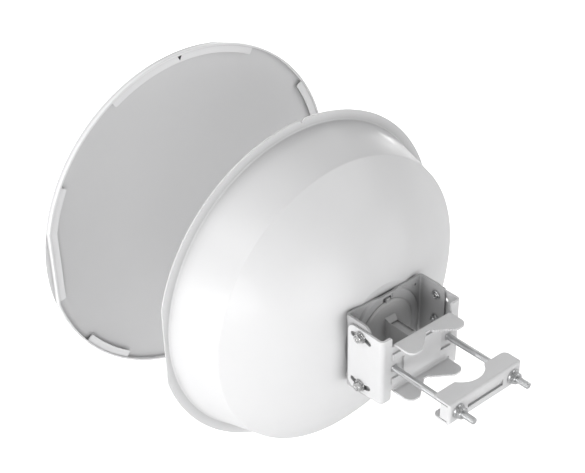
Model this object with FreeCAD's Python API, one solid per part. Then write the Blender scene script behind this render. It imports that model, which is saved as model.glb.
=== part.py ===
import FreeCAD
import Part
import math
import os

V = FreeCAD.Vector

# Frame: +Z is up, the antenna looks along -Y, and the mast stands along Z through the
# origin, half way up the clamp.  Stations are distances behind the reflector's rim plane,
# and at() turns a station into a Y value.  All sizes are millimetres.

# Mast seat and pole bracket
MAST_R = 28.575
WEB_Y = -42.5
JAW_TIP_Y = -14.75
FLANK_DEG = 36.0
APEX_R = 10.0
APEX_NOTCH_HALF_W = 5.0
APEX_NOTCH_DEPTH = 1.2
TOOTH_PITCH = 2.8
TOOTH_DEPTH = 0.9
TOOTH_GAP_HALF_W = 1.0
TOOTH_FIRST = 9.2
TOOTH_GAPS = 9
SHEET = 2.8
BRACKET_W = 127.0
BRACKET_H = 88.0
BRACKET_BEND_R = 6.0
BRACKET_CORNER_R = 10.0
JAW_HALF_W = 44.5
JAW_TOP_Z = 34.4
JAW_CORNER_R = 9.0
JAW_POINT_R = 1.6
JAW_BEND_R = 5.0
JAW_ROOT_Z = 12.0
RELIEF_Z = 31.0
EAR_CORNER_R = 3.0
EAR_X = 47.6
EMBOSS_RISE = 2.4
EMBOSS_HALF_W = 47.5
EMBOSS_HALF_H = 21.5
RECESS_X = 30.0
RECESS_HALF_H = 12.6

# Clamp bolts, M8 x 125 with a square neck
BOLT_X = 43.75
BOLT_R = 4.0
BOLT_LENGTH = 125.0
NECK = 8.2
NECK_LENGTH = 4.2
HEAD_R = 9.8
HEAD_H = 4.6

# Clamp jaw
CLAMP_HALF_W = 57.5
CLAMP_HALF_H = 14.0
CLAMP_BACK_Y = 55.7
CLAMP_WALL_DEPTH = 14.0
CLAMP_TIP_Y = 30.7
CLAMP_THROAT = 12.9
CLAMP_HOLE_R = 4.6
LOUVRE_SLIT_HALF_W = 27.6
LOUVRE_SLIT_H = 1.5
TAB_GAP = 1.2
TAB_ROOT = 3.6

# Stations behind the rim plane
WEB_STATION = 202.3
RIM_Y = WEB_Y - WEB_STATION
TILT_STATION = 168.5
SIDE_FRONT_STATION = 147.6
CREASE_STATION = 68.4
APEX_STATION = 148.0
CORNER_STATION = 142.5

# Tilt joint
TILT_Y = RIM_Y + TILT_STATION
SLOT_R = 34.5
SLOT_HALF_W = 3.3
SLOT_HALF_DEG = 22.0
TILT_BOLT_R = 3.0
TILT_WASHER_T = 1.0
CLINCH_H = 2.4
PIVOT_R = 4.0
SIDE_GAP = 0.4

# Dish bracket
INNER_HALF_W = BRACKET_W / 2 - SHEET - SIDE_GAP
INNER_HALF_H = 50.0
INNER_BACK_STATION = 181.8
INNER_CORNER_R = 14.0
PLATEAU_R = 53.0
PLATEAU_RISE = 2.5
HUB_STATION = CORNER_STATION - SHEET
REAR_FACE_STATION = CORNER_STATION + PLATEAU_RISE
HUB_HOLE_R = 38.4
SCREW_X = 49.0
SCREW_Z = 40.0

# Reflector
RIM_R = 220.0
FLANGE_IN_R = 207.5
CREASE_R = 189.4
WALL = 2.0
RIM_FLAT_X = 213.5
FLANGE_FILLET = 1.6
CREASE_FILLET = 2.5
NOTCH_HALF_W = 5.0
NOTCH_DEPTH = 4.5
NOTCH_CORNER_R = 2.0

# Radome, shown drawn forward off the rim
RADOME_R = 231.0
RADOME_WALL = 2.4
RADOME_GAP = 220.0
SKIRT_DEPTH = 7.0
RADOME_FLAT_X = 222.4
RADOME_EDGE_R = 1.2
LIP_T = 2.0
LIP_IN_R = 218.6
LIP_FLAT_X = 212.7
LIP_SET_BACK = 1.5
MARK_HALF_W = 3.2
MARK_TOP_Z = 227.0
MARK_TIP_Z = 220.5
MARK_TURN = 2.4
RADOME_RISE = 14.0
TOP_LIP = (60.0, 118.0)
SIDE_LIPS = ((-12.5, 29.0), (147.0, 192.5))
LOW_LIPS = ((-54.7, -34.2), (214.2, 234.7))

# Rear housing and tail
DISC_R = 41.3
TAIL_HALF_W = 6.6
TAIL_HALF_H = 18.4
TAIL_FRONT_STATION = 156.4
TAIL_BACK_STATION = 188.0
TAIL_WALL = 1.0
COLLAR_HALF_W = 8.2
COLLAR_HALF_H = 23.7
TAIL_RECESS_HALF_W = 5.5
PORT_FRONT = 162.0
PORT_BACK = 186.0
PORT_HALF_W = 5.0
JACK_HALF_W = 5.4

# Radio and feed
TUBE_R = 33.0
TUBE_WALL = 2.2
TUBE_FRONT_STATION = 62.0
GUIDE_R = 15.0
GUIDE_IN_R = 13.0
SPLASH_STATION = 22.0
SPLASH_R = 30.0


def at(station):
    return RIM_Y + station


def box(x0, x1, y0, y1, z0, z1):
    return Part.makeBox(x1 - x0, y1 - y0, z1 - z0, V(x0, y0, z0))


def rod_x(r, x0, x1, y, z):
    return Part.makeCylinder(r, x1 - x0, V(x0, y, z), V(1, 0, 0))


def rod_y(r, y0, y1, x=0.0, z=0.0):
    return Part.makeCylinder(r, y1 - y0, V(x, y0, z), V(0, 1, 0))


def hex_y(flats, y0, y1, x, z):
    r = flats / math.sqrt(3)
    pts = []
    for i in range(7):
        a = math.radians(60 * i + 30)
        pts.append(V(x + r * math.cos(a), y0, z + r * math.sin(a)))
    return Part.Face(Part.makePolygon(pts)).extrude(V(0, y1 - y0, 0))


def turn_to_x(shape, x, y, z, side):
    # A fastener drawn about the Y axis at the origin, head towards -Y, is turned to lie
    # along X with its head outwards on the given side.
    s = shape.copy()
    s.rotate(V(0, 0, 0), V(0, 0, 1), 90 if side > 0 else -90)
    s.translate(V(x, y, z))
    return s


def join(shapes):
    out = shapes[0]
    if len(shapes) > 1:
        out = out.fuse(shapes[1:])
    return out.removeSplitter()


def group(shapes):
    return Part.makeCompound(shapes)


def prism(points, direction):
    return Part.Face(Part.makePolygon(points + [points[0]])).extrude(direction)


def plate_xy(points, z0, z1):
    return prism([V(x, y, z0) for x, y in points], V(0, 0, z1 - z0))


def revolve(points_ry):
    # Closed polygon of (radius, y) turned about the Y axis.
    face = Part.Face(Part.makePolygon([V(r, y, 0) for r, y in points_ry + points_ry[:1]]))
    return face.revolve(V(0, 0, 0), V(0, 1, 0), 360)


def fillet_where(shape, radius, test):
    edges = [e for e in shape.Edges if test(e)]
    return shape.makeFillet(radius, edges) if edges else shape


def is_line_along(edge, axis):
    a = edge.Vertexes[0].Point
    b = edge.Vertexes[-1].Point
    d = b - a
    return d.Length > 1e-6 and abs(abs(d.normalize() * axis) - 1) < 1e-6


def channel(half_w, back_y, front_y, half_h, bend_r, web_at_back):
    # Folded sheet channel: a web across X and two side flanges along Y.
    outer = box(-half_w, half_w, front_y, back_y, -half_h, half_h)
    bend_y = back_y if web_at_back else front_y
    outer = fillet_where(outer, bend_r, lambda e: is_line_along(e, V(0, 0, 1))
                         and abs(e.Vertexes[0].Point.y - bend_y) < 1e-6)
    y0 = front_y - 10 if web_at_back else front_y + SHEET
    y1 = back_y - SHEET if web_at_back else back_y + 10
    inner = box(-half_w + SHEET, half_w - SHEET, y0, y1, -half_h - 5, half_h + 5)
    wall_y = y1 if web_at_back else y0
    inner = fillet_where(inner, bend_r - SHEET, lambda e: is_line_along(e, V(0, 0, 1))
                         and abs(e.Vertexes[0].Point.y - wall_y) < 1e-6)
    return outer.cut(inner)


def round_flange_corners(shape, edge_y, half_h, radius):
    return fillet_where(shape, radius, lambda e: is_line_along(e, V(1, 0, 0))
                        and abs(e.Vertexes[0].Point.y - edge_y) < 1e-6
                        and abs(abs(e.Vertexes[0].Point.z) - half_h) < 1e-6)


def arc_slot(sign):
    # Slot about the tilt axis, cut through both side flanges.
    half = math.radians(SLOT_HALF_DEG)
    reach = BRACKET_W
    ring = Part.makeCylinder(SLOT_R + SLOT_HALF_W, reach, V(-reach / 2, TILT_Y, 0), V(1, 0, 0))
    ring = ring.cut(Part.makeCylinder(SLOT_R - SLOT_HALF_W, reach, V(-reach / 2, TILT_Y, 0),
                                      V(1, 0, 0)))
    far = 2 * SLOT_R
    wedge = prism([V(-reach / 2, TILT_Y, 0),
                   V(-reach / 2, TILT_Y - far * math.sin(half), sign * far * math.cos(half)),
                   V(-reach / 2, TILT_Y + far * math.sin(half), sign * far * math.cos(half))],
                  V(reach, 0, 0))
    slot = ring.common(wedge)
    ends = []
    for s in (-1, 1):
        y = TILT_Y + s * SLOT_R * math.sin(half)
        ends.append(rod_x(SLOT_HALF_W, -reach / 2, reach / 2, y, sign * SLOT_R * math.cos(half)))
    return slot.fuse(ends)


def throat_block(z0, z1):
    # V-shaped throat whose flanks touch the mast, with a round apex, a short notch at the
    # bottom, and gaps between the gripping teeth along both flanks.
    a = math.radians(FLANK_DEG)
    apex_y = -MAST_R / math.cos(a)
    reach = 60.0
    block = plate_xy([(-reach, apex_y + reach * math.tan(a)), (0, apex_y),
                      (reach, apex_y + reach * math.tan(a))], z0, z1)
    block = fillet_where(block, APEX_R, lambda e: is_line_along(e, V(0, 0, 1))
                         and abs(e.Vertexes[0].Point.x) < 1e-6)
    bottom = apex_y + APEX_R * (1 / math.cos(a) - 1)
    parts = [box(-APEX_NOTCH_HALF_W, APEX_NOTCH_HALF_W, bottom - APEX_NOTCH_DEPTH, bottom + 3, z0, z1)]
    for side in (-1, 1):
        for i in range(TOOTH_GAPS):
            s = TOOTH_FIRST + TOOTH_PITCH * i
            corners = []
            for along, out in ((-TOOTH_GAP_HALF_W, -0.3), (-TOOTH_GAP_HALF_W, 0.0), (0.0, TOOTH_DEPTH),
                               (TOOTH_GAP_HALF_W, 0.0), (TOOTH_GAP_HALF_W, -0.3)):
                x = (s + along) * math.cos(a) + out * math.sin(a)
                y = apex_y + (s + along) * math.sin(a) - out * math.cos(a)
                corners.append((side * x, y))
            parts.append(plate_xy(corners, z0, z1))
    return block.fuse(parts)


def jaw_strip():
    # Upper jaw: a strip bent from the web towards the mast, with a toothed throat and lobes.
    front = WEB_Y - SHEET
    outer = box(-JAW_HALF_W, JAW_HALF_W, front, JAW_TIP_Y, JAW_ROOT_Z, JAW_TOP_Z)
    outer = fillet_where(outer, JAW_BEND_R, lambda e: is_line_along(e, V(1, 0, 0))
                         and abs(e.Vertexes[0].Point.y - front) < 1e-6
                         and abs(e.Vertexes[0].Point.z - JAW_TOP_Z) < 1e-6)
    under = JAW_TOP_Z - SHEET
    inner = box(-80, 80, WEB_Y, 0, -JAW_TOP_Z, under)
    inner = fillet_where(inner, JAW_BEND_R - SHEET, lambda e: is_line_along(e, V(1, 0, 0))
                         and abs(e.Vertexes[0].Point.y - WEB_Y) < 1e-6
                         and abs(e.Vertexes[0].Point.z - under) < 1e-6)
    strip = outer.cut(inner)
    strip = fillet_where(strip, JAW_CORNER_R, lambda e: is_line_along(e, V(0, 0, 1))
                         and abs(e.Vertexes[0].Point.y - JAW_TIP_Y) < 1e-6)
    strip = strip.cut(throat_block(1.0, JAW_TOP_Z + 1))
    return fillet_where(strip, JAW_POINT_R, lambda e: is_line_along(e, V(0, 0, 1))
                        and abs(e.Vertexes[0].Point.y - JAW_TIP_Y) < 1e-6
                        and abs(e.Vertexes[0].Point.x) < JAW_HALF_W - JAW_CORNER_R - 1)


def emboss_block(grow, y0, y1):
    w = EMBOSS_HALF_W + grow
    h = EMBOSS_HALF_H + grow
    block = box(-w, w, y0, y1, -h, h)
    for s in (-1, 1):
        x0, x1 = sorted((s * (RECESS_X + grow), s * 80))
        block = block.cut(box(x0, x1, y0, y1, -RECESS_HALF_H + grow, RECESS_HALF_H - grow))
    return block


def pole_bracket():
    front = at(SIDE_FRONT_STATION)
    half_h = BRACKET_H / 2
    body = channel(BRACKET_W / 2, WEB_Y, front, half_h, BRACKET_BEND_R, True)
    body = round_flange_corners(body, front, half_h, BRACKET_CORNER_R)
    upper = box(-EAR_X, EAR_X, WEB_Y - SHEET - 1, WEB_Y + 1, RELIEF_Z, half_h + 5)
    lower = box(-EAR_X, EAR_X, WEB_Y - SHEET - 1, WEB_Y + 1, -half_h - 5, -RELIEF_Z)
    body = body.cut(upper).cut(lower)
    body = fillet_where(body, EAR_CORNER_R, lambda e: is_line_along(e, V(0, 1, 0))
                        and abs(abs(e.Vertexes[0].Point.x) - EAR_X) < 1e-6
                        and abs(abs(e.Vertexes[0].Point.z) - half_h) < 1e-6)
    jaw = jaw_strip()
    body = body.fuse([jaw, jaw.mirror(V(0, 0, 0), V(0, 0, 1))]).removeSplitter()
    body = body.fuse(emboss_block(0.0, WEB_Y - 0.5, WEB_Y + EMBOSS_RISE))
    body = body.cut(emboss_block(-1.2, WEB_Y - SHEET - 1, WEB_Y - SHEET + EMBOSS_RISE))
    for s in (-1, 1):
        body = body.cut(arc_slot(s))
        body = body.cut(box(s * BOLT_X - NECK / 2, s * BOLT_X + NECK / 2, WEB_Y - 10, WEB_Y + 5,
                            -NECK / 2, NECK / 2))
    return body.removeSplitter()


def carriage_bolt(x):
    seat = WEB_Y - SHEET
    ball_r = (HEAD_R ** 2 + HEAD_H ** 2) / (2 * HEAD_H)
    ball = Part.makeSphere(ball_r, V(x, seat - HEAD_H + ball_r, 0))
    head = ball.common(rod_y(HEAD_R + 1, seat - HEAD_H - 1, seat, x, 0))
    neck = box(x - NECK / 2, x + NECK / 2, seat, seat + NECK_LENGTH, -NECK / 2, NECK / 2)
    tip = seat + BOLT_LENGTH
    shank = rod_y(BOLT_R, seat, tip, x, 0)
    shank = fillet_or_chamfer(shank, 0.9, tip)
    return join([head, neck, shank])


def fillet_or_chamfer(shape, size, end_y):
    edges = [e for e in shape.Edges if len(e.Vertexes) == 1
             and abs(e.Vertexes[0].Point.y - end_y) < 1e-6]
    return shape.makeChamfer(size, edges)


def clamp_jaw():
    w = CLAMP_HALF_W
    h = CLAMP_HALF_H
    back = CLAMP_BACK_Y
    web_front = back - SHEET
    tray = box(-w, w, back - CLAMP_WALL_DEPTH, back, -h, h)
    for s in (-1, 1):
        z0, z1 = sorted((s * (h - SHEET), s * h))
        tray = tray.fuse(box(-w, w, CLAMP_TIP_Y, back, z0, z1))
    tray = tray.removeSplitter()
    tray = fillet_where(tray, 7.0, lambda e: is_line_along(e, V(0, 0, 1))
                        and abs(e.Vertexes[0].Point.y - CLAMP_TIP_Y) < 1e-6)
    tray = fillet_where(tray, 3.0, lambda e: abs(e.Vertexes[0].Point.y - back) < 1e-6
                        and abs(e.Vertexes[-1].Point.y - back) < 1e-6)
    hollow = box(-w + SHEET, w - SHEET, CLAMP_TIP_Y - 10, web_front, -h + SHEET, h - SHEET)
    tray = tray.cut(hollow)
    throat_y = CLAMP_TIP_Y + CLAMP_THROAT - MAST_R
    tray = tray.cut(Part.makeCylinder(MAST_R, 4 * h, V(0, throat_y, -2 * h)))
    tray = fillet_where(tray, 0.8, lambda e: is_line_along(e, V(0, 0, 1))
                        and abs(e.Vertexes[0].Point.y - CLAMP_TIP_Y) < 1e-6
                        and abs(e.Vertexes[0].Point.x) < w - 10)
    tray = tray.fuse(louvre(26.9, 3.6, web_front + 0.3, web_front - 0.6, web_front - 2.2))
    tray = tray.cut(louvre(28.5, 4.4, back + 1, back - 0.4, back - 2.6))
    tray = tray.cut(box(-LOUVRE_SLIT_HALF_W, LOUVRE_SLIT_HALF_W, web_front - 5, back + 1, -4.4,
                        -4.4 + LOUVRE_SLIT_H))
    for sx in (-1, 1):
        for sz in (-1, 1):
            x0, x1 = sorted((sx * (w - SHEET), sx * (w + 1)))
            z0, z1 = sorted((sz * (h - SHEET), sz * (h - SHEET - TAB_GAP)))
            tray = tray.cut(box(x0, x1, CLAMP_TIP_Y - 1, back - TAB_ROOT, z0, z1))
    for s in (-1, 1):
        tray = tray.cut(rod_y(CLAMP_HOLE_R, web_front - 1, back + 1, s * BOLT_X, 0))
    return tray.removeSplitter()


def louvre(half_w, half_h, open_y, top_y, bottom_y):
    # Block whose -Y face leans, so that a pocket cut with it is deepest along its lower edge.
    profile = [V(-half_w, open_y, -half_h), V(-half_w, open_y, half_h), V(-half_w, top_y, half_h),
               V(-half_w, bottom_y, -half_h)]
    return prism(profile, V(2 * half_w, 0, 0))


def clamp_nut(x):
    seat = CLAMP_BACK_Y + 0.05
    flange = Part.makeCone(8.95, 7.0, 2.2, V(x, seat, 0), V(0, 1, 0))
    rim = rod_y(8.95, seat, seat + 0.9, x, 0)
    body = hex_y(13.0, seat, seat + 8.0, x, 0)
    cone = Part.makeCone(13.6, 6.4, 7.2, V(x, seat + 0.8, 0), V(0, 1, 0))
    body = body.common(cone.fuse(rod_y(12, seat, seat + 0.8, x, 0)))
    nut = join([flange, rim, body])
    return nut.cut(rod_y(BOLT_R + 0.05, seat - 1, seat + 10, x, 0))


def tilt_places():
    out = []
    for side in (-1, 1):
        for s in (-1, 1):
            out.append((side, TILT_Y, s * SLOT_R))
    return out


def hex_bolt(r, head_flats, head_h, flange_r, length):
    head = hex_y(head_flats, -head_h, 0, 0, 0)
    cone = Part.makeCone(head_flats * 0.5, head_flats * 0.5 + 3.2, 3.2, V(0, -head_h, 0),
                         V(0, 1, 0))
    head = head.common(cone.fuse(rod_y(head_flats, -head_h + 3.2, 0)))
    flange = rod_y(flange_r, -1.1, 0)
    shank = fillet_or_chamfer(rod_y(r, 0, length), 0.6, length)
    dimple = Part.makeCone(head_flats * 0.38, head_flats * 0.30, 1.2, V(0, -head_h, 0), V(0, 1, 0))
    return join([head, flange, shank]).cut(dimple)


def tilt_bolts():
    x = BRACKET_W / 2 + 0.05 + TILT_WASHER_T
    end = INNER_HALF_W - SHEET - CLINCH_H - 0.5
    bolt = hex_bolt(TILT_BOLT_R, 10.0, 5.6, 6.8, x - end)
    out = []
    for side, y, z in tilt_places():
        out.append(turn_to_x(bolt, side * x, y, z, side))
    return group(out)


def tilt_washers():
    # Flat washers under the bolt heads, across the slots.
    x = BRACKET_W / 2 + 0.05
    washer = rod_y(7.6, -TILT_WASHER_T, 0).cut(rod_y(TILT_BOLT_R + 0.2, -2, 1))
    return group([turn_to_x(washer, side * x, y, z, side) for side, y, z in tilt_places()])


def tilt_nuts():
    # Round clinch nuts on the inner faces of the dish bracket's cheeks.
    x = INNER_HALF_W - SHEET
    rim = Part.makeCone(5.6, 5.0, 0.6, V(0, CLINCH_H - 0.6, 0), V(0, 1, 0))
    nut = join([rod_y(5.6, 0, CLINCH_H - 0.6), rim]).cut(rod_y(TILT_BOLT_R + 0.02, -1, 6))
    nut = nut.cut(Part.makeCone(3.0, 3.9, 0.9, V(0, CLINCH_H - 0.9, 0), V(0, 1, 0)))
    return group([turn_to_x(nut, side * x, y, z, side) for side, y, z in tilt_places()])


def pivot_studs():
    # Studs welded to the inner faces of the pole bracket's cheeks.
    shoulder = SIDE_GAP + SHEET + 0.3
    shank = rod_y(PIVOT_R, 0, shoulder)
    end = fillet_or_chamfer(rod_y(TILT_BOLT_R, shoulder, shoulder + 5.0), 0.6, shoulder + 5.0)
    x = BRACKET_W / 2 - SHEET
    return group([turn_to_x(join([shank, end]), s * x, TILT_Y, 0, s) for s in (-1, 1)])


def pivot_nuts():
    x = BRACKET_W / 2 - SHEET - (SIDE_GAP + SHEET + 0.3)
    nut = join([rod_y(5.8, 0, 1.0), hex_y(9.0, 0, 4.0, 0, 0)]).cut(rod_y(TILT_BOLT_R + 0.02, -1, 6))
    return group([turn_to_x(nut, s * x, TILT_Y, 0, s) for s in (-1, 1)])


def dish_bracket():
    front = at(CORNER_STATION) - SHEET
    back = at(INNER_BACK_STATION)
    body = channel(INNER_HALF_W, back, front, INNER_HALF_H, BRACKET_BEND_R - 1, False)
    body = round_flange_corners(body, back, INNER_HALF_H, INNER_CORNER_R)
    web_back = at(CORNER_STATION)
    reach = box(-INNER_HALF_W + 5, INNER_HALF_W - 5, front - 1, web_back + PLATEAU_RISE,
                -INNER_HALF_H, INNER_HALF_H)
    rise = Part.makeCone(PLATEAU_R + 1.2, PLATEAU_R - 1.2, PLATEAU_RISE, V(0, web_back, 0),
                         V(0, 1, 0))
    body = body.fuse(rise.common(reach))
    sink = Part.makeCone(PLATEAU_R + 0.4, PLATEAU_R - 2.0, PLATEAU_RISE, V(0, front, 0), V(0, 1, 0))
    body = body.cut(sink)
    body = body.cut(rod_y(HUB_HOLE_R, front - 5, web_back + 10))
    body = body.cut(box(-6.2, 6.2, front - 5, web_back + 10, 36, 46.4))
    for side, y, z in tilt_places():
        x0, x1 = sorted((side * 50, side * 70))
        body = body.cut(rod_x(TILT_BOLT_R + 0.1, x0, x1, y, z))
    body = body.cut(rod_x(PIVOT_R + 0.05, -70, 70, TILT_Y, 0))
    for x, z in screw_places():
        body = body.cut(rod_y(2.7, front - 5, web_back + 5, x, z))
        body = body.cut(Part.makeCone(2.7, 5.25, 2.4, V(x, web_back - 2.3, z), V(0, 1, 0)))
    tick = box(-9.4, -8.2, web_back + PLATEAU_RISE - 0.2, web_back + PLATEAU_RISE + 0.6, 42.2, 47.2)
    return body.fuse(tick).removeSplitter()


def screw_places():
    return [(sx * SCREW_X, sz * SCREW_Z) for sx in (-1, 1) for sz in (-1, 1)]


PAD_FRONT_STATION = 133.4


def dish_screws():
    # Countersunk screws, flush with the dish bracket's web.
    head_y = at(CORNER_STATION) - 0.05
    out = []
    for x, z in screw_places():
        head = Part.makeCone(2.5, 4.9, 2.2, V(x, head_y - 2.2, z), V(0, 1, 0))
        socket = hex_y(3.2, head_y - 1.3, head_y + 1, x, z)
        shank = rod_y(2.5, head_y - 16, head_y - 1.5, x, z)
        out.append(join([head, shank]).cut(socket))
    return group(out)


def dish_nuts():
    y1 = at(PAD_FRONT_STATION)
    out = []
    for x, z in screw_places():
        nut = join([rod_y(5.9, y1 - 1.0, y1, x, z), hex_y(8.0, y1 - 4.6, y1, x, z)])
        out.append(nut.cut(rod_y(2.52, y1 - 6, y1 + 1, x, z)))
    return group(out)


def focal_length():
    return CREASE_R ** 2 / (4 * (APEX_STATION - CREASE_STATION))


def dome_points(offset, r_in, r_out, count):
    # Points on the paraboloid, moved inwards along its normal by the offset.
    f = focal_length()
    out = []
    for i in range(count):
        r = r_out + (r_in - r_out) * i / (count - 1)
        y = APEX_STATION - r * r / (4 * f)
        slope = r / (2 * f)
        n = math.hypot(slope, 1.0)
        out.append(V(r - offset * slope / n, at(y - offset / n), 0))
    return out


def curve_through(points):
    c = Part.BSplineCurve()
    c.interpolate(points)
    return c.toShape()


def hub_radius():
    return math.sqrt(4 * focal_length() * (APEX_STATION - HUB_STATION))


def reflector_wires(offset):
    # Outline from the flange root over the crease to the flat hub, at one wall face.
    dome = dome_points(offset, hub_radius(), CREASE_R, 9)
    hub_y = at(HUB_STATION - offset)
    hub = V(HUB_HOLE_R, hub_y, 0)
    dome[-1] = V(dome[-1].x, hub_y, 0)
    return dome, hub


def reflector_dish():
    outer, outer_hub = reflector_wires(0.0)
    inner, inner_hub = reflector_wires(WALL)
    slope = (FLANGE_IN_R - CREASE_R) / CREASE_STATION
    inner_root = V(FLANGE_IN_R - WALL, at(-WALL), 0)
    rim_front = V(RIM_R, at(-WALL), 0)
    rim_back = V(RIM_R, at(0), 0)
    fil = FLANGE_FILLET
    root_out = V(FLANGE_IN_R + fil * (1 - slope), at(0), 0)
    root_mid = V(FLANGE_IN_R + fil * 0.25, at(fil * 0.25), 0)
    root_in = V(FLANGE_IN_R - slope * fil, at(fil), 0)
    edges = [
        Part.LineSegment(rim_front, rim_back).toShape(),
        Part.LineSegment(rim_back, root_out).toShape(),
        Part.Arc(root_out, root_mid, root_in).toShape(),
        Part.LineSegment(root_in, outer[0]).toShape(),
        curve_through(outer),
        Part.LineSegment(outer[-1], outer_hub).toShape(),
        Part.LineSegment(outer_hub, inner_hub).toShape(),
        Part.LineSegment(inner_hub, inner[-1]).toShape(),
        curve_through(inner[::-1]),
        Part.LineSegment(inner[0], inner_root).toShape(),
        Part.LineSegment(inner_root, rim_front).toShape(),
    ]
    face = Part.Face(Part.Wire(Part.__sortEdges__(edges)))
    dish = face.revolve(V(0, 0, 0), V(0, 1, 0), 360)
    dish = fillet_where(dish, CREASE_FILLET, lambda e: len(e.Vertexes) == 1
                        and abs(e.Vertexes[0].Point.y - at(CREASE_STATION)) < 1e-3)
    for x, z in screw_places():
        y0 = at(PAD_FRONT_STATION)
        dish = dish.fuse(rod_y(7.0, y0, at(CORNER_STATION) - SHEET, x, z))
    for s in (-1, 1):
        x0, x1 = sorted((s * RIM_FLAT_X, s * (RIM_R + 10)))
        dish = dish.cut(box(x0, x1, at(-10), at(10), -80, 80))
    top = RIM_R + 2
    slope_w = NOTCH_HALF_W * (NOTCH_DEPTH + 2) / NOTCH_DEPTH
    dish = dish.cut(prism([V(-slope_w, at(-10), top), V(slope_w, at(-10), top),
                           V(0, at(-10), RIM_R - NOTCH_DEPTH)], V(0, 13, 0)))
    dish = fillet_where(dish, NOTCH_CORNER_R, lambda e: is_line_along(e, V(0, 1, 0))
                        and e.Vertexes[0].Point.z > RIM_R - 2
                        and abs(e.Vertexes[0].Point.x) < NOTCH_HALF_W + 1)
    for x, z in screw_places():
        dish = dish.cut(rod_y(2.7, at(110), at(150), x, z))
    return dish.removeSplitter()


def hub_ring():
    flange_back = at(HUB_STATION) - WALL
    ring = rod_y(50.0, flange_back - 3.0, flange_back)
    barrel = rod_y(HUB_HOLE_R - 0.2, flange_back - 3.0, at(REAR_FACE_STATION) - 0.1)
    ring = ring.fuse(barrel).cut(rod_y(34.6, flange_back - 10, flange_back + 20))
    return ring.removeSplitter()


def flat_sided(r, flat_x, y0, y1):
    # Disc about Y with a vertical flat on each side.
    return rod_y(r, y0, y1).common(box(-flat_x, flat_x, y0 - 1, y1 + 1, -r - 1, r + 1))


def radome():
    # Shallow domed disc, with a skirt that has a flat on each side, as the rim has, and lips
    # that hook behind the rim.
    skirt_back = at(-RADOME_GAP)
    shelf = skirt_back - SKIRT_DEPTH
    inner_r = RADOME_R - RADOME_WALL
    ball_r = (inner_r ** 2 + RADOME_RISE ** 2) / (2 * RADOME_RISE)
    ball_y = shelf - RADOME_RISE + ball_r
    shell = Part.makeSphere(ball_r + RADOME_WALL, V(0, ball_y, 0))
    shell = shell.common(rod_y(RADOME_R, shelf - 60, shelf))
    shell = fillet_where(shell, RADOME_EDGE_R, lambda e: len(e.Vertexes) == 1
                         and e.Vertexes[0].Point.y < shelf - 0.5
                         and math.hypot(e.Vertexes[0].Point.x, e.Vertexes[0].Point.z) > inner_r)
    skirt = flat_sided(RADOME_R, RADOME_FLAT_X + RADOME_WALL, shelf - 0.5, skirt_back)
    shell = shell.fuse(skirt).removeSplitter()
    hollow = flat_sided(inner_r, RADOME_FLAT_X, shelf - 60, skirt_back + 1)
    shell = shell.cut(hollow.common(Part.makeSphere(ball_r, V(0, ball_y, 0))))
    spans = (TOP_LIP,) + SIDE_LIPS + LOW_LIPS
    shell = shell.fuse([lip(*span) for span in spans]).removeSplitter()
    y0 = skirt_back - 5
    mark = prism([V(-MARK_HALF_W, y0, MARK_TOP_Z), V(MARK_HALF_W, y0, MARK_TOP_Z),
                  V(0, y0, MARK_TIP_Z)], V(0, 7, 0))
    mark.rotate(V(0, 0, 0), V(0, 1, 0), MARK_TURN)
    return shell.cut(mark)


def lip(a0, a1):
    # Angles run from +X towards +Z, as seen from behind.
    y1 = at(-RADOME_GAP) - LIP_SET_BACK
    half = math.radians(a1 - a0) / 2
    mid = math.radians(a0 + a1) / 2
    far = 2 * RADOME_R
    wedge = prism([V(0, y1 - LIP_T, 0),
                   V(far * math.cos(mid - half), y1 - LIP_T, far * math.sin(mid - half)),
                   V(far * math.cos(mid + half), y1 - LIP_T, far * math.sin(mid + half))],
                  V(0, LIP_T, 0))
    band = flat_sided(RADOME_R - 0.5, RADOME_FLAT_X + 1.0, y1 - LIP_T, y1)
    band = band.cut(flat_sided(LIP_IN_R, LIP_FLAT_X, y1 - LIP_T - 1, y1 + 1))
    piece = band.common(wedge)
    return fillet_where(piece, 2.0, lambda e: is_line_along(e, V(0, 1, 0))
                        and math.hypot(e.Vertexes[0].Point.x, e.Vertexes[0].Point.z) < LIP_IN_R + 1)


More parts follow.
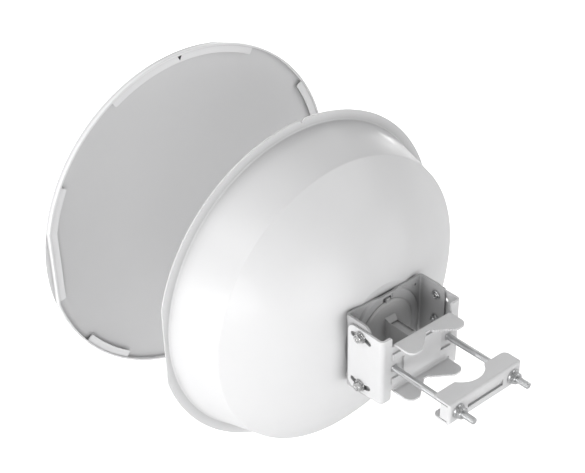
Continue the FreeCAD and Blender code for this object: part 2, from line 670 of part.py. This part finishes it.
def rear_housing():
    y0 = at(REAR_FACE_STATION) + 0.1
    dome = [(0, y0 + 6.6), (12, y0 + 6.4), (26, y0 + 5.2), (34, y0 + 4.0), (38.6, y0 + 2.8),
            (40.6, y0 + 1.4), (DISC_R, y0 + 0.5), (DISC_R, y0)]
    inner = [(32.0, y0), (32.0, y0 - 7.0), (34.3, y0 - 7.0), (34.3, y0)]
    profile = [(0, y0 + 4.4), (12, y0 + 4.2), (26, y0 + 2.6), (32.0, y0 + 1.2)] + inner
    disc = revolve(dome + profile[::-1])
    key = box(-3.0, 3.0, y0 - 2.4, y0 + 2.2, DISC_R - 2.5, DISC_R + 4.2)
    collar = frustum(COLLAR_HALF_W, COLLAR_HALF_H, y0 + 4.6, TAIL_HALF_W, TAIL_HALF_H,
                     at(TAIL_FRONT_STATION))
    top = TAIL_HALF_H
    back = at(TAIL_BACK_STATION)
    tail = box(-TAIL_HALF_W, TAIL_HALF_W, y0 + 5.0, back, -top, top)
    tail = fillet_where(tail, 0.8, lambda e: is_line_along(e, V(0, 1, 0))
                        or abs(e.Vertexes[0].Point.y + e.Vertexes[-1].Point.y - 2 * back) < 1e-6)
    body = join([disc, key, collar, tail])
    body = body.cut(box(-TAIL_RECESS_HALF_W, TAIL_RECESS_HALF_W, at(TAIL_FRONT_STATION + 1.2),
                        back - 3.0, top - 2.2, top + 1))
    inside = box(-TAIL_HALF_W + TAIL_WALL, TAIL_HALF_W - TAIL_WALL, y0 - 1, back - TAIL_WALL,
                 -top + 1.8, top - 3.6)
    body = body.cut(inside)
    body = body.cut(box(-PORT_HALF_W, PORT_HALF_W, at(PORT_FRONT), at(PORT_BACK), -top - 1, -top + 4))
    return body.removeSplitter()


def frustum(w0, h0, y0, w1, h1, y1):
    wires = []
    for w, h, y in ((w0, h0, y0), (w1, h1, y1)):
        pts = [V(-w, y, -h), V(w, y, -h), V(w, y, h), V(-w, y, h), V(-w, y, -h)]
        wires.append(Part.makePolygon(pts))
    return Part.makeLoft(wires, True, True)


def housing_seal():
    y1 = at(REAR_FACE_STATION) - 6.9
    return Part.makeTorus(33.6, 0.9, V(0, y1 - 1.0, 0), V(0, 1, 0))


def radio_tube():
    back = at(REAR_FACE_STATION) - 8.9
    front = at(TUBE_FRONT_STATION)
    neck = front - 12.0
    tip = at(34.0)
    out = [(0, tip), (GUIDE_R + 2.6, tip), (GUIDE_R + 2.6, neck), (TUBE_R - 4, front - 1.5),
           (TUBE_R, front + 4), (TUBE_R, back - 4), (34.3, back - 3.5), (34.3, back)]
    inn = [(TUBE_R - TUBE_WALL, back), (TUBE_R - TUBE_WALL, front + 5), (TUBE_R - 5.4, front),
           (GUIDE_R + 0.3, neck + 1.5), (GUIDE_R + 0.3, tip + 1.0), (0, tip + 1.0)]
    shell = revolve(out + inn)
    return shell.cut(rod_y(GUIDE_R + 0.3, tip - 1, tip + 2))


def waveguide():
    y0 = at(37.0)
    y1 = at(TUBE_FRONT_STATION)
    return join([rod_y(GUIDE_R, y0, y1), rod_y(26.0, y1, y1 + 2.0)]).cut(
        rod_y(GUIDE_IN_R, y0 - 1, y1 + 1.0))


def feed_cone():
    y_small = at(42.0)
    y_lip = at(33.6)
    y_big = at(SPLASH_STATION + 2.0)
    stem = rod_y(GUIDE_IN_R - 0.1, y_lip, y_small)
    cone = Part.makeCone(SPLASH_R - 3, GUIDE_R + 1.8, y_lip - y_big, V(0, y_big, 0), V(0, 1, 0))
    return join([stem, cone])


def splash_plate():
    y0 = at(SPLASH_STATION)
    plate = rod_y(SPLASH_R, y0, y0 + 2.0)
    return plate.cut(Part.makeCone(9, 2, 1.2, V(0, y0, 0), V(0, 1, 0)))


BOARD_Z = -3.0


def radio_board():
    return box(-27.5, 27.5, at(70), at(137), BOARD_Z - 1.6, BOARD_Z)


def shield_can():
    can = box(-21, 21, at(78), at(112), BOARD_Z, BOARD_Z + 5)
    return can.cut(box(-20.6, 20.6, at(78.4), at(111.6), BOARD_Z, BOARD_Z + 4.6))


def heat_spreader():
    z1 = BOARD_Z - 1.6
    plate = box(-22, 22, at(74), at(132), z1 - 4, z1)
    fins = []
    for i in range(6):
        x = -18 + 7.2 * i
        fins.append(box(x - 0.8, x + 0.8, at(76), at(130), z1 - 17, z1 - 4))
    return join([plate] + fins)


def board_chips():
    z = BOARD_Z
    out = [box(-12, 12, at(82), at(98), z, z + 1.4), box(-16, -6, at(101), at(109), z, z + 1.2),
           box(6, 18, at(116), at(128), z, z + 6.5), box(-20, -6, at(117), at(131), z, z + 8.5)]
    return group(out)


def jack_board():
    return box(-JACK_HALF_W, JACK_HALF_W, at(161.9), at(163.5), -16.4, 12.0)


def ethernet_jack():
    # Socket for an 8P8C plug, with its mouth down and its broad side along the tail.
    w = JACK_HALF_W
    jack = box(-w, w, at(163.5), at(181.5), -16.4, -0.8)
    mouth = box(-3.3, 3.3, at(166.6), at(178.4), -16.5, -3.8)
    latch = box(3.2, 4.7, at(169.4), at(175.6), -16.5, -3.8)
    return jack.cut(mouth).cut(latch)


def port_cover():
    gap = 0.2
    z0 = -TAIL_HALF_H
    plate = box(-PORT_HALF_W + gap, PORT_HALF_W - gap, at(PORT_FRONT) + gap, at(PORT_BACK) - gap,
                z0, z0 + 1.7)
    grip = box(-4.0, 4.0, at(PORT_BACK) - 3.6, at(PORT_BACK) - gap, z0 - 2.2, z0)
    cover = join([plate, grip])
    return cover.cut(Part.makeCylinder(3.4, 6, V(0, at(172.5), z0 - 2)))


def cable_grommet():
    z0 = -TAIL_HALF_H
    y = at(172.5)
    outer = Part.makeCylinder(4.5, 1.2, V(0, y, z0 - 1.2))
    plug = Part.makeCylinder(3.35, 1.7, V(0, y, z0))
    return join([outer, plug])


PARTS = {
    "pole_bracket": pole_bracket,
    "carriage_bolt_left": lambda: carriage_bolt(BOLT_X),
    "carriage_bolt_right": lambda: carriage_bolt(-BOLT_X),
    "clamp_jaw": clamp_jaw,
    "clamp_nut_left": lambda: clamp_nut(BOLT_X),
    "clamp_nut_right": lambda: clamp_nut(-BOLT_X),
    "pivot_studs": pivot_studs,
    "pivot_nuts": pivot_nuts,
    "tilt_bolts": tilt_bolts,
    "tilt_washers": tilt_washers,
    "tilt_nuts": tilt_nuts,
    "dish_bracket": dish_bracket,
    "dish_screws": dish_screws,
    "dish_nuts": dish_nuts,
    "reflector_dish": reflector_dish,
    "hub_ring": hub_ring,
    "radome": radome,
    "rear_housing": rear_housing,
    "housing_seal": housing_seal,
    "radio_tube": radio_tube,
    "waveguide": waveguide,
    "feed_cone": feed_cone,
    "splash_plate": splash_plate,
    "radio_board": radio_board,
    "board_chips": board_chips,
    "shield_can": shield_can,
    "heat_spreader": heat_spreader,
    "jack_board": jack_board,
    "ethernet_jack": ethernet_jack,
    "port_cover": port_cover,
    "cable_grommet": cable_grommet,
}


os.makedirs("parts", exist_ok=True)
for name, make in PARTS.items():
    shape = make()
    print(name, len(shape.Solids), shape.isValid(), round(shape.Volume / 1000, 2))
    shape.exportStep("parts/" + name + ".step")
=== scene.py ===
import math

import bmesh
import bpy
from mathutils import Matrix, Vector


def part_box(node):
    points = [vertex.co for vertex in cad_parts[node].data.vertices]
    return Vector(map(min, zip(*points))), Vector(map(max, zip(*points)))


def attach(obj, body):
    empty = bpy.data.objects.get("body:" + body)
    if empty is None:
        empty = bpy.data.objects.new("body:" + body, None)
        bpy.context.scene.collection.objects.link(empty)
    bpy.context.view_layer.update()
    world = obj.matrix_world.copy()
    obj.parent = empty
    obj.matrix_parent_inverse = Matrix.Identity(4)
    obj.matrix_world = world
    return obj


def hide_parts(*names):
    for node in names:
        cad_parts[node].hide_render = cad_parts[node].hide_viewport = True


MM = 0.001
TAU = 2 * math.pi

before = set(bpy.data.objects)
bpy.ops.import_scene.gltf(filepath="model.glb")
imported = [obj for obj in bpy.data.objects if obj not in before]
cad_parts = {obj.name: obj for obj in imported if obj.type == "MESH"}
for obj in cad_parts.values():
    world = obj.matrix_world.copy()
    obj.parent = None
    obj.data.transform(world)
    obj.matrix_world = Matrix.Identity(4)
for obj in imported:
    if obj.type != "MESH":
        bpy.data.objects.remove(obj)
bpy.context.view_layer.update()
scene = bpy.context.scene
scene.view_settings.view_transform = "Standard"


# ---------------------------------------------------------------- camera, stage and light

def aim(obj, place, target, roll=0.0):
    d = (Vector(target) - Vector(place)).normalized()
    side = d.cross(Vector((0, 0, 1))).normalized()
    up = side.cross(d)
    c, s = math.cos(roll), math.sin(roll)
    side, up = c * side + s * up, c * up - s * side
    m = Matrix((side, up, -d)).transposed().to_4x4()
    m.translation = Vector(place)
    obj.matrix_world = m


SENSOR_WIDTH = 36.0
LENS = 79.98
CAMERA_TARGET = (0.0982, -0.150, 0.14845)
CAMERA_DISTANCE = 1.4185
CAMERA_YAW, CAMERA_PITCH, CAMERA_ROLL = 220.22, 33.07, -1.18


def make_camera():
    data = bpy.data.cameras.new("view")
    data.sensor_width = SENSOR_WIDTH
    data.lens = LENS
    data.clip_start = 0.05
    data.clip_end = 50.0
    cam = bpy.data.objects.new("view", data)
    scene.collection.objects.link(cam)
    target = Vector(CAMERA_TARGET)
    yaw, pitch = math.radians(CAMERA_YAW), math.radians(CAMERA_PITCH)
    level = math.cos(pitch)
    d = Vector((math.sin(yaw) * level, math.cos(yaw) * level, -math.sin(pitch)))
    aim(cam, target - CAMERA_DISTANCE * d, target, math.radians(CAMERA_ROLL))
    scene.camera = cam


# Softboxes: name, direction from the object, and power in watts
STUDIO = (
    ("key_left", (1, 0, 0), 32.5),
    ("key_left_high", (1, 0, 1), 9),
    ("key_left_rear", (1, 1, 0), 21),
    ("soft_high", (1, -1, 1), 8.5),
    ("top_front", (0, -1, 1), 13),
    ("rear_fill", (0, 1, 0), 13),
    ("edge_right", (-1, -1, 0), 24.5),
    ("edge_right_high", (-1, -1, 1), 6),
    ("right", (-1, 0, 0), 3.5),
    ("right_rear", (-1, 1, 0), 8),
    ("right_rear_high", (-1, 1, 1), 7.5),
)
STUDIO_CENTRE = (0, -0.15, 0)
SOFTBOX_DISTANCE = 2.6
SOFTBOX_SIZE = 1.4
WORLD_LIGHT, WORLD_SHOWN = 0.34, 1.0
FLOOR_Z = -0.42
FLOOR_LIGHT, FLOOR_SHOWN = 0.03, 0.6


def area_light(name, direction, energy):
    """Round softbox that faces the object."""
    data = bpy.data.lights.new(name, "AREA")
    data.shape = "DISK"
    data.size = SOFTBOX_SIZE
    data.energy = energy
    light = bpy.data.objects.new(name, data)
    scene.collection.objects.link(light)
    centre = Vector(STUDIO_CENTRE)
    aim(light, centre + SOFTBOX_DISTANCE * Vector(direction).normalized(), centre)


def lit_only(nt, strength, shown, socket):
    """Sets the light that a white studio sheet throws apart from how white it is seen."""
    path = nt.nodes.new("ShaderNodeLightPath")
    mix = nt.nodes.new("ShaderNodeMix")
    mix.inputs["A"].default_value = strength
    mix.inputs["B"].default_value = shown
    nt.links.new(path.outputs["Is Camera Ray"], mix.inputs["Factor"])
    nt.links.new(mix.outputs["Result"], socket)


def make_world():
    world = bpy.data.worlds.new("studio")
    world.use_nodes = True
    back = world.node_tree.nodes["Background"]
    back.inputs["Color"].default_value = (1, 1, 1, 1)
    lit_only(world.node_tree, WORLD_LIGHT, WORLD_SHOWN, back.inputs["Strength"])
    scene.world = world


def make_floor():
    bm = bmesh.new()
    bmesh.ops.create_grid(bm, x_segments=4, y_segments=4, size=12)
    mesh = bpy.data.meshes.new("floor")
    bm.to_mesh(mesh)
    bm.free()
    floor = bpy.data.objects.new("floor", mesh)
    floor.location.z = FLOOR_Z
    scene.collection.objects.link(floor)
    mat = bpy.data.materials.new("pale_floor")
    mat.use_nodes = True
    b = mat.node_tree.nodes["Principled BSDF"]
    b.inputs["Roughness"].default_value = 0.9
    b.inputs["Base Color"].default_value = (0.9, 0.9, 0.9, 1)
    b.inputs["Emission Color"].default_value = (1, 1, 1, 1)
    lit_only(mat.node_tree, FLOOR_LIGHT, FLOOR_SHOWN, b.inputs["Emission Strength"])
    mesh.materials.append(mat)


# ---------------------------------------------------------------- materials

class Net:
    """Short hand for a node material with a Principled shader."""

    def __init__(self, name):
        self.mat = bpy.data.materials.new(name)
        self.mat.use_nodes = True
        self.nt = self.mat.node_tree
        self.shader = self.nt.nodes["Principled BSDF"]
        self.coords = self.nt.nodes.new("ShaderNodeTexCoord").outputs["Object"]

    def node(self, kind, sockets=(), **props):
        n = self.nt.nodes.new("ShaderNode" + kind)
        for key, value in props.items():
            setattr(n, key, value)
        for key, value in dict(sockets).items():
            if isinstance(value, bpy.types.NodeSocket):
                self.nt.links.new(value, n.inputs[key])
            else:
                n.inputs[key].default_value = value
        return n

    def noise(self, scale, detail=3.0, rough=0.55, coords=None):
        return self.node("TexNoise", {"Vector": coords or self.coords, "Scale": scale,
                                      "Detail": detail, "Roughness": rough}).outputs["Fac"]

    def ramp(self, value, low, high, to_low=0.0, to_high=1.0):
        return self.node("MapRange", {"Value": value, "From Min": low, "From Max": high,
                                      "To Min": to_low, "To Max": to_high}).outputs["Result"]

    def math(self, op, a, b=0.0):
        return self.node("Math", {0: a, 1: b}, operation=op).outputs[0]

    def blend(self, factor, a, b):
        n = self.nt.nodes.new("ShaderNodeMix")
        n.data_type = "RGBA"
        pairs = ((n.inputs[0], factor), (n.inputs[6], a), (n.inputs[7], b))
        for socket, value in pairs:
            if isinstance(value, bpy.types.NodeSocket):
                self.nt.links.new(value, socket)
            else:
                socket.default_value = value if isinstance(value, float) else (*value, 1.0)
        return n.outputs[2]

    def link(self, socket, name):
        self.nt.links.new(socket, self.shader.inputs[name])

    def edges(self, radius):
        """Rounded normal, and a mask that is 1 along sharp edges."""
        bevel = self.node("Bevel", {"Radius": radius}, samples=6).outputs["Normal"]
        true = self.node("NewGeometry").outputs["Normal"]
        dot = self.node("VectorMath", {0: bevel, 1: true}, operation="DOT_PRODUCT").outputs["Value"]
        return bevel, self.ramp(dot, 0.99, 0.86)


def surface(name, base, rough, metal=0.0, peel=(900.0, 1.2e-5), patch=(14.0, 0.03),
            edge_radius=0.5, edge_tint=None, edge_amount=0.5, rough_spread=0.06, spec=0.5,
            coat=0.0, speck=None, painted_shade=None, painted_rim_highlight=None):
    """Procedural finish.

    peel: frequency and height of the fine bump.
    patch: scale and depth of the slow colour change.
    edge_radius: rounding of sharp edges, in mm, with edge_tint and edge_amount for their colour.
    speck: frequency, threshold, tint and amount of small scattered marks.
    painted_shade: reach in mm and strength of the painted shade, a darkening of the colour in
    corners and recesses found by ambient occlusion.
    painted_rim_highlight: the Y, in metres, past which the surface is painted a lighter tint as a
    painted highlight, and that tint.
    """
    net = Net(name)
    normal, edge = net.edges(edge_radius * MM)
    fine = net.noise(peel[0], 2.0, 0.5)
    slow = net.noise(patch[0], 4.0, 0.6)
    dark = tuple(c * (1 - patch[1]) for c in base)
    light = tuple(min(1.0, c * (1 + patch[1])) for c in base)
    colour = net.blend(net.ramp(slow, 0.3, 0.7), dark, light)
    if speck:
        scale, threshold, tint, amount = speck
        spots = net.ramp(net.noise(scale, 5.0, 0.7), threshold, threshold + 0.06, 0.0, amount)
        colour = net.blend(spots, colour, tint)
    if edge_tint:
        broken = net.math("MULTIPLY", edge, net.ramp(net.noise(260.0, 3.0), 0.42, 0.6))
        colour = net.blend(net.math("MULTIPLY", broken, edge_amount), colour, edge_tint)
    # Painted highlight: the surface past the given Y is painted a lighter tint.
    if painted_rim_highlight:
        start, tint = painted_rim_highlight
        y = net.node("SeparateXYZ", {"Vector": net.coords}).outputs["Y"]
        colour = net.blend(net.ramp(y, start - 0.5 * MM, start + 0.5 * MM), colour, tint)
    # Painted shade: the colour darkens towards 0.3 of the base where ambient occlusion finds
    # corners and recesses.
    if painted_shade:
        reach, strength = painted_shade
        openness = net.node("AmbientOcclusion", {"Distance": reach * MM}, samples=8).outputs["AO"]
        painted_shade_mask = net.ramp(openness, 0.92, 0.30, 0.0, strength)
        colour = net.blend(painted_shade_mask, colour, tuple(c * 0.30 for c in base))
    net.link(colour, "Base Color")
    scuff = net.noise(patch[0] * 6, 5.0, 0.65)
    net.link(net.ramp(scuff, 0.25, 0.75, max(0.05, rough - rough_spread), rough + rough_spread),
             "Roughness")
    bump = net.node("Bump", {"Height": fine, "Distance": peel[1], "Strength": 1.0,
                             "Normal": normal})
    net.link(bump.outputs["Normal"], "Normal")
    net.shader.inputs["Metallic"].default_value = metal
    net.shader.inputs["Specular IOR Level"].default_value = spec
    net.shader.inputs["Coat Weight"].default_value = coat
    return net.mat


def dress(material, *nodes):
    for name in nodes:
        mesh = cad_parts[name].data
        for i in range(len(mesh.materials)):
            mesh.materials[i] = material


RADOME_LIP_DEPTH = 4.5


def dress_all():
    """Gives every CAD node its material, and returns those that the detail pieces share."""
    # The corner darkening given to several of these finishes is painted shade.
    bracket = surface("bracket_powder_coat", (0.66, 0.66, 0.665), 0.42, peel=(1100.0, 0.9e-5),
                      painted_shade=(9.0, 0.6), edge_radius=0.35, edge_tint=(0.50, 0.50, 0.50),
                      edge_amount=0.35)
    # The inner bracket's coat is the bracket's powder coat painted darker, as painted shade for the
    # shaded inside of the brackets.
    inner = surface("inner_coat_painted_shade", (0.46, 0.46, 0.465), 0.45, peel=(1100.0, 0.9e-5),
                    painted_shade=(30.0, 0.75), edge_radius=0.35, edge_tint=(0.62, 0.62, 0.62),
                    edge_amount=0.6)
    dish = surface("dish_powder_coat", (0.70, 0.70, 0.705), 0.36, peel=(700.0, 0.7e-5),
                   patch=(9.0, 0.012), edge_radius=0.8, coat=0.15, painted_shade=(20.0, 0.85))
    housing = surface("white_moulding", (0.52, 0.52, 0.52), 0.38, peel=(1800.0, 0.6e-5),
                      patch=(22.0, 0.015), edge_radius=0.35)
    # The rear housing's moulding is the white moulding painted darker, as painted shade for the
    # shaded inside of the brackets.
    rear = surface("rear_moulding_painted_shade", (0.45, 0.45, 0.45), 0.38, peel=(1800.0, 0.6e-5),
                   patch=(22.0, 0.015), edge_radius=0.35, edge_tint=(0.60, 0.60, 0.60),
                   painted_shade=(16.0, 0.7))
    # The radome's skirt and lips, behind lip_front, get a painted highlight: a lighter tint.
    lip_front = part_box("radome")[1][1] - RADOME_LIP_DEPTH * MM
    cover = surface("radome_moulding", (0.68, 0.68, 0.685), 0.5, peel=(1500.0, 0.9e-5),
                    patch=(7.0, 0.012), edge_radius=0.5, painted_shade=(6.0, 0.6),
                    painted_rim_highlight=(lip_front, (0.82, 0.82, 0.825)))
    feed = surface("feed_polymer", (0.66, 0.65, 0.62), 0.55, peel=(1500.0, 1.0e-5))
    zinc = surface("zinc_plate", (0.52, 0.525, 0.53), 0.27, metal=1.0, peel=(1500.0, 0.2e-5),
                   patch=(120.0, 0.06), rough_spread=0.05, edge_radius=0.25,
                   edge_tint=(0.72, 0.72, 0.72), speck=(900.0, 0.66, (0.36, 0.365, 0.38), 0.25))
    thread = surface("rolled_thread_zinc", (0.54, 0.545, 0.55), 0.3, metal=1.0,
                     peel=(1500.0, 0.2e-5), patch=(60.0, 0.03), rough_spread=0.03,
                     edge_radius=0.2)
    stainless = surface("stainless", (0.52, 0.52, 0.52), 0.20, metal=1.0, peel=(2400.0, 0.2e-5),
                        patch=(90.0, 0.05), rough_spread=0.05, edge_radius=0.25,
                        edge_tint=(0.80, 0.80, 0.80))
    alloy = surface("bare_alloy", (0.66, 0.66, 0.67), 0.34, metal=1.0, peel=(1400.0, 0.7e-5),
                    patch=(60.0, 0.07), edge_tint=(0.82, 0.82, 0.82), edge_radius=0.3)
    board = surface("solder_mask", (0.02, 0.14, 0.06), 0.35, peel=(2500.0, 0.5e-5),
                    patch=(90.0, 0.12), edge_radius=0.15,
                    speck=(420.0, 0.63, (0.10, 0.30, 0.13), 0.8))
    chip = surface("chip_epoxy", (0.025, 0.025, 0.027), 0.55, peel=(3000.0, 1.0e-5),
                   patch=(150.0, 0.2), edge_radius=0.2)
    port = surface("port_resin", (0.03, 0.03, 0.032), 0.4, peel=(2500.0, 0.7e-5), edge_radius=0.2)
    rubber = surface("seal_rubber", (0.035, 0.035, 0.035), 0.75, peel=(1700.0, 1.6e-5),
                     patch=(80.0, 0.2), spec=0.3, edge_radius=0.2)
    grommet = surface("grommet_rubber", (0.09, 0.09, 0.09), 0.7, peel=(1700.0, 1.6e-5),
                      patch=(80.0, 0.15), spec=0.3, edge_radius=0.2)
    dress(bracket, "pole_bracket", "clamp_jaw")
    dress(inner, "dish_bracket", "dish_screws")
    dress(dish, "reflector_dish")
    dress(cover, "radome")
    dress(rear, "rear_housing", "port_cover")
    dress(housing, "radio_tube")
    dress(feed, "feed_cone")
    dress(thread, "carriage_bolt_left", "carriage_bolt_right")
    dress(zinc, "clamp_nut_left", "clamp_nut_right",
          "pivot_studs", "pivot_nuts", "tilt_nuts", "dish_nuts", "shield_can")
    dress(stainless, "tilt_bolts", "tilt_washers")
    dress(alloy, "hub_ring", "waveguide", "splash_plate", "heat_spreader")
    dress(board, "radio_board", "jack_board")
    dress(chip, "board_chips")
    dress(port, "ethernet_jack")
    dress(rubber, "housing_seal")
    dress(grommet, "cable_grommet")
    return thread, port


# ---------------------------------------------------------------- detail pieces

def smooth_piece(name, bm, material, body, angle=35):
    bmesh.ops.recalc_face_normals(bm, faces=bm.faces)
    for face in bm.faces:
        face.smooth = True
    for edge in bm.edges:
        if len(edge.link_faces) == 2 and edge.calc_face_angle() > math.radians(angle):
            edge.smooth = False
    mesh = bpy.data.meshes.new(name)
    bm.to_mesh(mesh)
    bm.free()
    mesh.materials.append(material)
    piece = bpy.data.objects.new(name, mesh)
    scene.collection.objects.link(piece)
    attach(piece, body)
    return piece


def skin_loops(bm, loops):
    """Joins loops with equal numbers of points, and closes both ends."""
    rings = [[bm.verts.new(p) for p in loop] for loop in loops]
    n = len(rings[0])
    for a, b in zip(rings, rings[1:]):
        for i in range(n):
            j = (i + 1) % n
            bm.faces.new((a[i], a[j], b[j], b[i]))
    bm.faces.new(rings[0])
    bm.faces.new(rings[-1][::-1])


# Clamp rods, in mm.  SIDES is the number of points around a rod.
THREAD_PITCH = 1.25
THREAD_DEPTH = 0.14
GROOVE_SHARE = 0.24
CREST_R = 4.0
SHANK_R = 3.97
NECK_HALF = 4.05
NECK_CORNER_R = NECK_HALF * 1.33
NECK_LENGTH = 3.6
HEAD_R, HEAD_H = 9.8, 4.6
HEAD_EDGE = 0.5
THREAD_START = 2.0
RING_STEP = 0.16
SIDES = 48


def ring(x, y, radius):
    """Loop of points about the rod's line.  radius is a number, or a function of the angle."""
    out = []
    for i in range(SIDES):
        t = TAU * i / SIDES
        r = radius(t) if callable(radius) else radius
        out.append(((x + r * math.sin(t)) * MM, y * MM, r * math.cos(t) * MM))
    return out


def neck_radius(t):
    return min(NECK_HALF / max(abs(math.sin(t)), abs(math.cos(t))), NECK_CORNER_R)


def thread_radius(y, fade):
    def radius(t):
        phase = (y / THREAD_PITCH - t / TAU) % 1.0
        groove = max(0.0, 1.0 - abs(phase - 0.5) / GROOVE_SHARE)
        return CREST_R - THREAD_DEPTH * fade * groove
    return radius


def rod_loops(x, seat, tip):
    """Carriage bolt along +Y: low dome head, square neck, plain shank and a rolled thread."""
    loops = []
    for i in range(9):
        a = math.radians(4 + 86 * i / 8)
        rise = HEAD_EDGE + (HEAD_H - HEAD_EDGE) * math.cos(a)
        loops.append(ring(x, seat - rise, HEAD_R * math.sin(a)))
    loops.append(ring(x, seat, HEAD_R))
    loops.append(ring(x, seat, neck_radius))
    loops.append(ring(x, seat + NECK_LENGTH, neck_radius))
    loops.append(ring(x, seat + NECK_LENGTH + 1.0, SHANK_R))
    loops.append(ring(x, THREAD_START - 1.0, SHANK_R))
    stop = tip - 1.0
    steps = int((stop - THREAD_START) / RING_STEP)
    for i in range(steps + 1):
        y = THREAD_START + (stop - THREAD_START) * i / steps
        fade = min(1.0, (y - THREAD_START) / 2.5, max(0.0, (stop - y) / 0.8))
        loops.append(ring(x, y, thread_radius(y, fade)))
    loops.append(ring(x, tip - 0.15, 3.25))
    loops.append(ring(x, tip, 3.0))
    return loops


def make_rods(material):
    for side in ("left", "right"):
        node = "carriage_bolt_" + side
        lo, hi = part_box(node)
        bm = bmesh.new()
        skin_loops(bm, rod_loops((lo[0] + hi[0]) / 2 / MM, lo[1] / MM + HEAD_H, hi[1] / MM))
        rod = smooth_piece("clamp_rod_" + side, bm, material, "pole_mount", 25)
        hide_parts(node)


# Alignment mark, in mm: the corners and middle height of the triangle, and how far it lies below
# the skirt's back edge.  Each level is a depth below its face and a scale.
MARK_CORNERS = ((-3.1, 226.9), (3.1, 226.9), (0.0, 220.7))
MARK_MID_Z = 224.8
MARK_TURN = 2.4
MARK_SET_BACK = 1.6
MARK_LEVELS = ((1.4, 1.0), (0.15, 1.0), (0.0, 0.94))


def make_mark(material):
    """Dark triangle let into the alignment mark of the radome's long lip."""
    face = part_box("radome")[1][1] - MARK_SET_BACK * MM
    turn = math.radians(MARK_TURN)
    c, s = math.cos(turn), math.sin(turn)
    bm = bmesh.new()
    loops = []
    for depth, scale in MARK_LEVELS:
        loop = []
        for x, z in MARK_CORNERS:
            x, z = x * scale, MARK_MID_Z + (z - MARK_MID_Z) * scale
            loop.append(((x * c + z * s) * MM, face - depth * MM, (z * c - x * s) * MM))
        loops.append(loop)
    skin_loops(bm, loops)
    smooth_piece("alignment_mark", bm, material, "front_cover")


# ---------------------------------------------------------------- build

make_camera()
make_world()
make_floor()
for name, direction, energy in STUDIO:
    area_light(name, direction, energy)
thread, black = dress_all()
make_rods(thread)
make_mark(black)
